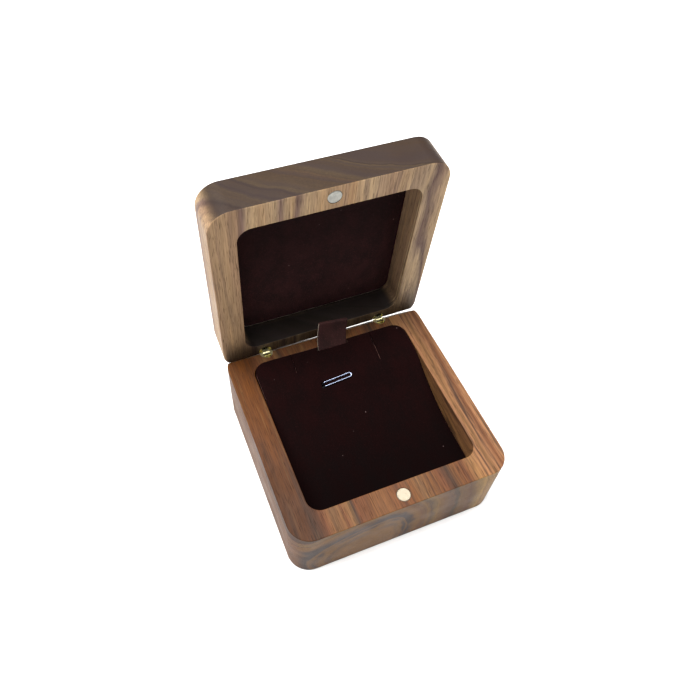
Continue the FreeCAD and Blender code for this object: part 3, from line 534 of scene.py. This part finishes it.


def velvet(name, lift, turn=None):
    """Flocked velvet, nearly black burgundy: brushed patches, fine nap and a little lint.

    lift multiplies the colour, painted light that keeps upright pieces from going black in this light.
    The pile is painted lighter towards the rear and darker at the front: painted light and shade.
    """
    s = Shader(name)
    place = s.object_mm(turn)
    brushed = s.noise(s.scaled(place, (0.16, 0.10, 0.16)), detail=3, roughness=0.6)
    nap = s.noise(place, scale=3.2, detail=3, roughness=0.7)
    colour = s.mix(s.span(brushed, 0.3, 0.7), rgb(9, 3, 3), rgb(14, 4, 4))
    colour = s.mix(s.calc("MULTIPLY", s.span(nap, 0.52, 0.75), 0.5), colour, rgb(34, 12, 13))
    colour = s.mix(s.calc("MULTIPLY", s.span(nap, 0.45, 0.25), 0.6), colour, rgb(7, 3, 3))
    # Painted light: lift makes the upright pieces' velvet lighter.
    colour = s.mix(1.0, colour, lift, "MULTIPLY")
    # Painted light and shade: the pile lighter towards the rear, darker at the front.
    colour = s.dimmed(colour, s.span(s.split(place)[1], *PILE_PAINTED_LIGHT_AND_SHADE))
    distance, identity, _ = s.cells(place, 0.28)[:3]
    chosen = s.calc("GREATER_THAN", s.split(identity)[0], 0.86)
    speck = s.calc("MULTIPLY", s.span(distance, 0.075, 0.035), chosen)
    streaked = s.scaled(place, (0.9, 0.16, 0.9))
    thread_gap, thread_identity, _ = s.cells(streaked, 0.34)[:3]
    thread = s.calc("MULTIPLY", s.span(thread_gap, 0.045, 0.02),
                    s.calc("GREATER_THAN", s.split(thread_identity)[1], 0.90))
    lint = s.clamped(s.calc("ADD", speck, thread))
    colour = s.mix(s.calc("MULTIPLY", lint, 0.7), colour, rgb(118, 98, 96))
    height = s.calc("ADD", nap, s.calc("MULTIPLY", brushed, 0.8))
    return s.finish({
        "Base Color": colour,
        "Roughness": s.span(brushed, 0.3, 0.7, 0.82, 0.95),
        "Specular IOR Level": 0.03,
        "Sheen Weight": 0.45,
        "Sheen Roughness": 0.3,
        "Sheen Tint": rgb(150, 84, 84),
        "Normal": s.bump(height, 0.18 * MM, 0.7),
    })


def card(name, dark, light, between):
    """Board: pressed fibres in layers, with darker flecks."""
    s = Shader(name)
    place = s.object_mm()
    fibres = s.noise(s.scaled(place, (1.6, 0.7, 1.6)), detail=4, roughness=0.65)
    layers = s.noise(s.scaled(place, (0.3, 0.3, 9.0)), detail=2)
    colour = s.mix(s.span(fibres, 0.3, 0.7), dark, light)
    colour = s.mix(s.span(layers, 0.55, 0.8, 0.0, 0.4), colour, between)
    fleck = s.span(s.noise(place, scale=2.4, detail=1), 0.68, 0.74)
    colour = s.mix(s.calc("MULTIPLY", fleck, 0.5), colour, rgb(96, 82, 72))
    return s.finish({
        "Base Color": colour,
        "Roughness": s.span(fibres, 0.3, 0.7, 0.8, 0.95),
        "Specular IOR Level": 0.25,
        "Normal": s.bump(s.calc("ADD", fibres, layers), 0.06 * MM, 0.7),
    })


def foam(name):
    """Open-cell foam, charcoal, with cells of different sizes."""
    s = Shader(name)
    place = s.object_mm()
    cell = s.cells(place, 1.4)[0]
    fine = s.cells(place, 3.4)[0]
    shade = s.calc("ADD", cell, s.calc("MULTIPLY", fine, 0.5))
    patches = s.noise(place, scale=0.08, detail=2)
    colour = s.mix(s.span(shade, 0.2, 0.9), rgb(28, 27, 29), rgb(70, 68, 70))
    colour = s.mix(s.span(patches, 0.4, 0.7, 0.0, 0.3), colour, rgb(84, 80, 78))
    return s.finish({
        "Base Color": colour,
        "Roughness": s.span(shade, 0.2, 0.9, 0.85, 0.98),
        "Specular IOR Level": 0.2,
        "Normal": s.bump(shade, 0.25 * MM, 0.9),
    })


# ---------------------------------------------------------------- metals

def metal(name, clean, dull, roughness, scratch_scale, dull_share, scratch_depth=0.008, metallic=1.0):
    """A metal with fine tool marks and duller patches."""
    s = Shader(name)
    place = s.object_mm()
    marks = s.noise(s.scaled(place, scratch_scale), detail=3, roughness=0.65)
    patches = s.noise(place, scale=0.7, detail=3)
    patch = s.calc("MULTIPLY", s.span(patches, 0.45, 0.7), dull_share)
    colour = s.dimmed(s.mix(patch, clean, dull), s.span(marks, 0.3, 0.7, 0.92, 1.05))
    rough = s.calc("ADD", s.span(marks, 0.3, 0.7, roughness - 0.05, roughness + 0.07),
                   s.calc("MULTIPLY", patch, 0.2))
    return s.finish({
        "Base Color": colour,
        "Metallic": metallic,
        "Roughness": rough,
        "Normal": s.bump(marks, scratch_depth * MM, 0.6),
    })


BASE_WOOD = walnut("walnut_base", Walnut(
    BASE_FIGURE, rim=box_mm("base_block")[1].z, rings=(-9.0, 6.0, 1.7, 0.72), streaks=(0.1, 0.9),
    dim_front=0.55, dim_rear=0.8, tone=rgb(156, 148, 127), ends=(1.3, 1.5, 0.98, 1.0),
    cloud=rgb(54, 40, 34),
    clouds=BASE_CLOUDS))
# The lid's end grain (ends) is painted about ten times darker than the base's: painted shade on its end
# faces.
LID_WOOD = walnut("walnut_lid", Walnut(
    LID_FIGURE, rim=closed_box_mm("lid_block")[0].z, rings=(50.0, 85.0, 1.3, 1.3), streaks=(0.3, 0.6),
    dim_front=1.0, dim_rear=0.3, tone=rgb(255, 255, 255), ends=(0.14, 0.132, 0.124, 1.0),
    cloud=rgb(50, 39, 36),
    clouds=LID_CLOUDS, turn=CLOSE_LID))
VELVET_BASE = velvet("velvet_insert", (1.0, 1.0, 1.0, 1.0))
# The lid's and the tab's velvet is the insert's cloth made five to eight times lighter: painted light.
VELVET_LID = velvet("velvet_lid", (5.0, 7.5, 7.5, 1.0), CLOSE_LID)
VELVET_TAB = velvet("velvet_tab", (5.5, 8.5, 8.0, 1.0))
CARD = card("grey_board", rgb(164, 150, 134), rgb(208, 197, 180), rgb(134, 118, 104))
# The insert's board is dark brown, painted shade for its edges seen in the slits and the notch.
BROWN_CARD = card("brown_board", rgb(66, 44, 38), rgb(98, 68, 60), rgb(50, 34, 30))
FOAM = foam("foam_cells")
BRASS = metal("turned_brass", rgb(240, 232, 182), rgb(160, 142, 88), 0.33, (0.8, 0.8, 9.0), 0.5)
LEAF_BRASS = metal("leaf_brass", rgb(236, 228, 178), rgb(160, 142, 90), 0.28, (9.0, 0.9, 0.9), 0.4)
PIN_STEEL = metal("pin_steel", rgb(196, 192, 184), rgb(120, 112, 100), 0.28, (9.0, 1.0, 1.0), 0.5)
# The base's and the lid's magnets are one nickel in two colours, the lid's lighter and cooler: painted
# light and reflection.
PLATING = metal("magnet_nickel", rgb(150, 140, 122), rgb(132, 122, 104), 0.38, (1.5, 6.0, 1.5), 0.35,
                metallic=0.75)
COOL_PLATING = metal("magnet_nickel_cool", rgb(180, 181, 174), rgb(142, 144, 140), 0.34,
                     (1.5, 6.0, 1.5), 0.5, metallic=0.75)
WIRE = metal("clip_wire", rgb(158, 168, 192), rgb(112, 118, 136), 0.2, (0.8, 5.0, 5.0), 0.3)

NODE_MATERIALS = {
    "base_block": BASE_WOOD,
    "lid_block": LID_WOOD,
    "base_magnet": PLATING,
    "lid_magnet": COOL_PLATING,
    "insert_board": BROWN_CARD,
    "lid_lining_board": CARD,
    "wire_clip": WIRE,
}
for side in ("left", "right"):
    NODE_MATERIALS[side + "_base_barrel"] = BRASS
    NODE_MATERIALS[side + "_lid_barrel"] = BRASS
    NODE_MATERIALS[side + "_leaves"] = LEAF_BRASS
    NODE_MATERIALS[side + "_pivot_pin"] = PIN_STEEL
    NODE_MATERIALS[side + "_fixing_pin"] = PIN_STEEL
for node, material in NODE_MATERIALS.items():
    for slot in NODES[node].material_slots:
        slot.material = material


# ---------------------------------------------------------------- insert velvet

def insert_shape():
    """The insert velvet's half width, its face height at each y, and its openings."""
    low, high = box_mm("insert_velvet")
    half = high.x
    rear = high.z
    front = low.z + VELVET
    angle = math.acos(1 - (rear - front) / (DIP_RADIUS + CREST_RADIUS))
    join = DIP_START + DIP_RADIUS * math.sin(angle)
    top = DIP_START + (DIP_RADIUS + CREST_RADIUS) * math.sin(angle)

    def face(y):
        if y < DIP_START:
            return front
        if y < join:
            return front + DIP_RADIUS - math.sqrt(DIP_RADIUS ** 2 - (y - DIP_START) ** 2)
        if y < top:
            return rear - CREST_RADIUS + math.sqrt(CREST_RADIUS ** 2 - (top - y) ** 2)
        return rear

    arc_length = (DIP_START + half) + (DIP_RADIUS + CREST_RADIUS) * angle + (half - top)
    over = half + 1
    openings = [(x - SLIT_WIDTH / 2, x + SLIT_WIDTH / 2, half - length, over)
                for x, length in zip(SLITS, SLIT_LENGTHS)]
    openings.append((*NOTCH, NOTCH_FRONT, over))
    (slot_x, slot_y), (slot_w, slot_l) = CLIP_SLOT_CENTRE, CLIP_SLOT_SIZE
    openings.append((slot_x - slot_w / 2, slot_x + slot_w / 2, slot_y - slot_l / 2, slot_y + slot_l / 2))
    return half, face, openings, arc_length


def slit_shift(x, y, half):
    """How far the velvet near a slit stands to the left, the slits being cut at a slant."""
    beside = max(1.0 - min(abs(x - slit) for slit in SLITS) / SLIT_REACH, 0.0)
    fade = max(min((y - REAR_START) / REAR_FADE, 1.0), 0.0)
    return SLIT_LEAN * min(y - half, 0.0) * beside * fade


def build_insert_cover():
    """The velvet over the insert board, its cut edges rolled over and its slits open."""
    half, face, openings, arc_length = insert_shape()
    straight = half - INSERT_CORNER
    column_marks = [half, -half] + [x for opening in openings for x in opening[:2]]
    row_marks = [half, -half] + [y for opening in openings for y in opening[2:] if y < half]
    columns = spaced_lines(-half, half, 0.9, column_marks)
    rows = [y for y in spaced_lines(-half, half, 0.8, row_marks) if abs(y) < straight]
    arc = corner_lines(half, INSERT_CORNER)
    marked = [y for y in spaced_lines(-half, half, 0.8, row_marks) if y >= straight]
    rows = sorted({round(y, 3) for y in [*rows, *arc, *marked, *(-a for a in arc), half, -half]})

    def place(x, y):
        return round_corner(x, corner_reach(half, INSERT_CORNER, y), half), y

    def keep_cell(x, y):
        return not any(o[0] < x < o[1] and o[2] < y < o[3] for o in openings)

    def top(x, y):
        gap = min([outline_gap(x, y, half, INSERT_CORNER)] + [opening_gap(x, y, o) for o in openings])
        fade = min(max(gap, 0.0) / 3.0, 1.0)
        wave = unevenness(x, y, 9.0, 0.05, 1.0) + unevenness(x, y, 2.5, 0.02, 5.0)
        to_rear = max(y - REAR_START, 0.0) / (half - REAR_START)
        to_left = min(max(-x / LIFT_FULL_X, 0.0), 1.0)
        lift = REAR_LEFT_LIFT * to_rear * to_left
        return face(y) - 0.05 - rolled(max(gap, 0.0)) + wave * fade + lift

    def bottom(x, y):
        return face(y) - VELVET

    cover = slab("insert_cover", columns, rows, place, keep_cell, top, bottom, VELVET_BASE)
    for vertex in cover.data.vertices:
        vertex.co.x += slit_shift(vertex.co.x / MM, vertex.co.y / MM, half) * MM
    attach(cover, "base")
    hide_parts("insert_velvet")
    return cover


build_insert_cover()


# ---------------------------------------------------------------- lid lining velvet

def build_lid_cover():
    """The velvet on the lid's lining board, stopping just short of the board by the hinges."""
    low, high = closed_box_mm("lid_lining_velvet")
    half = high.x
    columns = [a * half / 60 for a in range(-60, 61)]
    edge = [half - step for step in (0.12, 0.3, 0.55)]
    columns = sorted({round(x, 3) for x in [*columns, *edge, *(-a for a in edge)]})
    arc = corner_lines(half, LINING_CORNER)
    inner = [a * 0.95 for a in range(-27, 28)]
    rows = sorted({round(y, 3) for y in [*inner, *arc, *(-a for a in arc), *edge, *(-a for a in edge),
                                         half, -half]})

    def place(x, y):
        x = round_corner(x, corner_reach(half, LINING_CORNER, y), half)
        trim = LINING_TRIM * (1.0 + 0.5 * noise.noise(Vector((x / 11.0, 0.0, 7.0))))
        return x, y - trim * max(y / half, 0.0) ** 3

    def gap(x, y):
        return max(outline_gap(x, min(y + LINING_TRIM, half), half, LINING_CORNER), 0.0)

    def shown(x, y):
        distance = gap(x, y)
        fade = min(distance / 3.0, 1.0)
        wave = unevenness(x, y, 10.0, 0.06, 2.0) + unevenness(x, y, 3.0, 0.02, 6.0)
        return low.z + 0.07 + rolled(distance) + wave * fade

    def hidden(x, y):
        return high.z

    cover = slab("lid_cover", columns, rows, place, lambda x, y: True, hidden, shown, VELVET_LID)
    cover.data.transform(OPEN_LID)
    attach(cover, "lid")
    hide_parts("lid_lining_velvet")
    return cover


build_lid_cover()


# ---------------------------------------------------------------- pull tab

def tab_frame():
    """The tab's left and right edges and its centre of curvature, in millimetres."""
    low, high = box_mm("tab_velvet")
    foot = math.radians(TAB_LEAN_FOOT)
    tip = math.radians(TAB_LEAN_TIP)
    inner = TAB_RADIUS - GLUE - TAB_VELVET
    centre_y = low.y - inner * math.cos(foot)
    centre_z = high.z + inner * math.sin(tip)
    return low.x, high.x, Vector((centre_y, centre_z))


TAB_LEFT, TAB_RIGHT, TAB_CENTRE = tab_frame()
TAB_LENGTH = TAB_RADIUS * math.radians(TAB_LEAN_FOOT - TAB_LEAN_TIP)


def tab_point(radius, lean):
    """A point of the tab's side view, at a radius and a lean in degrees."""
    angle = math.radians(lean)
    return TAB_CENTRE + Vector((math.cos(angle), -math.sin(angle))) * radius


def tab_leans(steps):
    """Leans in degrees from the tab's foot to its tip."""
    return [TAB_LEAN_FOOT + (TAB_LEAN_TIP - TAB_LEAN_FOOT) * i / steps for i in range(steps + 1)]


def tilt_tab(bm):
    """Turn the tab a little to the right in its own plane, more towards its tip."""
    tilt = math.sin(math.radians(TAB_TILT))
    middle = (TAB_LEFT + TAB_RIGHT) / 2
    for vertex in bm.verts:
        arm = Vector((vertex.co.y, vertex.co.z)) - TAB_CENTRE
        angle = math.atan2(-arm.y, arm.x)
        climbed = max((math.radians(TAB_LEAN_FOOT) - angle) * arm.length, 0.0)
        share = min(climbed / TAB_LENGTH, 1.0)
        angle += (vertex.co.x - middle) * tilt * share / arm.length
        vertex.co.x += climbed * tilt * (0.5 + 0.5 * share)
        vertex.co.y = TAB_CENTRE.x + math.cos(angle) * arm.length
        vertex.co.z = TAB_CENTRE.y - math.sin(angle) * arm.length


def ribbon(name, inner, outer, material, edge_roll):
    """A strip between two side-view lines, its cut sides a little frayed."""
    bm = bmesh.new()
    count = 24
    width = TAB_RIGHT - TAB_LEFT
    rings = []
    for a, b in zip(inner, outer):
        row = []
        for i in range(count + 1):
            share = 0.5 - 0.5 * math.cos(math.pi * i / count)
            x = TAB_LEFT + width * share
            gap = min(share, 1 - share) * width
            roll = edge_roll * math.exp(-(gap / 0.3) ** 2)
            fray = 0.05 * noise.noise(Vector((a.y * 1.7, a.x, i)))
            a_in = a.lerp(b, roll)
            row.append((bm.verts.new((x + fray * (gap < 0.1), a_in.x, a_in.y)),
                        bm.verts.new((x + fray * (gap < 0.1), b.x, b.y))))
        rings.append(row)
    for lower, upper in zip(rings, rings[1:]):
        for i in range(count):
            bm.faces.new((lower[i][0], lower[i + 1][0], upper[i + 1][0], upper[i][0]))
            bm.faces.new((lower[i][1], upper[i][1], upper[i + 1][1], lower[i + 1][1]))
        for i in (0, count):
            bm.faces.new((lower[i][0], upper[i][0], upper[i][1], lower[i][1]))
    for ring in (rings[0], rings[-1]):
        for i in range(count):
            bm.faces.new((ring[i][0], ring[i][1], ring[i + 1][1], ring[i + 1][0]))
    tilt_tab(bm)
    return make_object(name, bm, material)


def build_tab():
    """The card strip with its cut edges bare, and the velvet on its front, turned over its tip."""
    leans = tab_leans(22)
    half = TAB_CARD / 2
    middle = TAB_RADIUS + half
    inner, outer = [], []
    for step in range(6, 0, -1):
        turn = math.pi / 2 * step / 6
        extra = math.degrees(half * math.sin(turn) / middle)
        inner.append(tab_point(middle - half * math.cos(turn), TAB_LEAN_FOOT + extra))
        outer.append(tab_point(middle + half * math.cos(turn), TAB_LEAN_FOOT + extra))
    inner += [tab_point(TAB_RADIUS, lean) for lean in leans]
    outer += [tab_point(TAB_RADIUS + TAB_CARD, lean) for lean in leans]
    strip = ribbon("tab_card", inner, outer, CARD, 0.0)
    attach(strip, "tab")
    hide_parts("tab_core")

    near = TAB_RADIUS - GLUE
    far = near - TAB_VELVET
    under = [tab_point(near, lean) for lean in leans]
    face = [tab_point(far, lean) for lean in leans]
    reach = half + GLUE
    for step in range(1, 9):
        turn = math.pi * step / 8
        tip = TAB_LEAN_TIP - math.degrees(reach * math.sin(turn) / middle)
        high = TAB_LEAN_TIP - math.degrees((reach + TAB_VELVET) * math.sin(turn) / middle)
        under.append(tab_point(middle - reach * math.cos(turn), tip))
        face.append(tab_point(middle - (reach + TAB_VELVET) * math.cos(turn), high))
    for lean in TAB_TURNED_LEANS:
        under.append(tab_point(middle + reach, lean))
        face.append(tab_point(middle + reach + TAB_VELVET, lean))
    cover = ribbon("tab_cover", face, under, VELVET_TAB, 0.5)
    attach(cover, "tab")
    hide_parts("tab_velvet")
    foot, tip = tab_point(middle, TAB_LEAN_FOOT), tab_point(middle, TAB_LEAN_TIP)
    for piece in (strip, cover):
        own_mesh(piece)


build_tab()


# ---------------------------------------------------------------- foam

FOAM_VOXEL = 0.9
FOAM_SINK = 0.12
FOAM_DENT = 0.08
FOAM_DENT_SCALE = 6


def build_foam():
    """The foam block under the insert board, with soft edges and a faintly slumped skin."""
    mesh = NODES["insert_foam"].data.copy()
    mesh.materials.clear()
    mesh.materials.append(FOAM)
    block = bpy.data.objects.new("foam_pad", mesh)
    bpy.context.scene.collection.objects.link(block)
    remesh = block.modifiers.new("cells", "REMESH")
    remesh.mode = "VOXEL"
    remesh.voxel_size = FOAM_VOXEL * MM
    soften = block.modifiers.new("soften", "SMOOTH")
    soften.factor = 0.5
    soften.iterations = 2
    graph = bpy.context.evaluated_depsgraph_get()
    shaped = bpy.data.meshes.new_from_object(block.evaluated_get(graph))
    block.modifiers.clear()
    block.data = shaped
    normals = [v.normal.copy() for v in shaped.vertices]
    for vertex, normal in zip(shaped.vertices, normals):
        dent = noise.noise(vertex.co / (FOAM_DENT_SCALE * MM))
        vertex.co -= normal * (FOAM_SINK + FOAM_DENT * dent) * MM
    for polygon in shaped.polygons:
        polygon.use_smooth = True
    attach(block, "base")
    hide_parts("insert_foam")


build_foam()


# ---------------------------------------------------------------- floor, light and camera

FLOOR_HALF = 2500
FLOOR_GAP = 0.02
WORLD_LIGHT = 0.11  # the surroundings look white, and light the box only faintly
SOFTBOX_DISTANCE = 2.4

# Each light's name, azimuth and elevation in degrees, size in metres, power in watts and tint.
SOFTBOXES = [
    ("key", -112, 72, 2.0, 140.0, (1.0, 0.99, 0.97)),
    ("side", 92, 68, 1.6, 38.0, (0.98, 0.99, 1.0)),
]


def build_floor():
    """A wide pale sheet under the box."""
    bm = bmesh.new()
    bmesh.ops.create_grid(bm, x_segments=24, y_segments=24, size=FLOOR_HALF)
    s = Shader("floor_paper")
    place = s.object_mm()
    tone = s.noise(place, scale=0.02, detail=3)
    tooth = s.noise(place, scale=1.5, detail=2)
    material = s.finish({
        "Base Color": s.mix(s.span(tone, 0.3, 0.7), rgb(242, 242, 243), rgb(246, 246, 246)),
        "Roughness": s.span(tooth, 0.3, 0.7, 0.75, 0.85),
        "Specular IOR Level": 0.2,
    })
    floor = make_object("floor", bm, material)
    floor.location.z = CAD_BOX[0].z - FLOOR_GAP * MM


def look_from(azimuth, elevation):
    """The unit vector from the scene towards a light or the camera."""
    a, e = math.radians(azimuth), math.radians(elevation)
    return Vector((math.sin(a) * math.cos(e), -math.cos(a) * math.cos(e), math.sin(e)))


def softbox(name, azimuth, elevation, size, power, tint):
    """A square area light turned to the box."""
    data = bpy.data.lights.new(name, "AREA")
    data.shape = "SQUARE"
    data.size = size
    data.energy = power
    data.color = tint
    lamp = bpy.data.objects.new(name, data)
    way = look_from(azimuth, elevation)
    lamp.location = (CAD_BOX[0] + CAD_BOX[1]) / 2 + way * SOFTBOX_DISTANCE
    lamp.rotation_euler = (-way).to_track_quat("-Z", "Y").to_euler()
    bpy.context.scene.collection.objects.link(lamp)


def build_light():
    """White surroundings, and softboxes that light the box from above."""
    world = bpy.data.worlds.new("studio")
    bpy.context.scene.world = world
    world.use_nodes = True
    background = world.node_tree.nodes["Background"]
    background.inputs["Color"].default_value = (1.0, 1.0, 1.0, 1.0)
    nodes, links = world.node_tree.nodes, world.node_tree.links
    share = nodes.new("ShaderNodeMath")
    share.operation = "MULTIPLY_ADD"
    share.inputs[1].default_value = 1.0 - WORLD_LIGHT
    share.inputs[2].default_value = WORLD_LIGHT
    links.new(nodes.new("ShaderNodeLightPath").outputs["Is Camera Ray"], share.inputs[0])
    links.new(share.outputs[0], background.inputs["Strength"])
    for light in SOFTBOXES:
        softbox(*light)
    bpy.context.scene.view_settings.view_transform = "Standard"


def build_camera():
    """The camera, hand-held: a little rolled and shifted."""
    data = bpy.data.cameras.new("camera")
    data.lens = CAMERA_LENS
    data.shift_x, data.shift_y = CAMERA_SHIFT
    data.clip_start = 0.01
    camera = bpy.data.objects.new("camera", data)
    back = look_from(CAMERA_AZIMUTH, CAMERA_ELEVATION)
    level = Vector((math.cos(math.radians(CAMERA_AZIMUTH)), math.sin(math.radians(CAMERA_AZIMUTH)), 0))
    upward = back.cross(level)
    roll = math.radians(CAMERA_ROLL)
    right = level * math.cos(roll) + upward * math.sin(roll)
    above = back.cross(right)
    turn = Matrix((right, above, back)).transposed()
    camera.matrix_world = Matrix.Translation(CAMERA_PLACE) @ turn.to_4x4()
    bpy.context.scene.collection.objects.link(camera)
    bpy.context.scene.camera = camera


build_floor()
build_light()
build_camera()
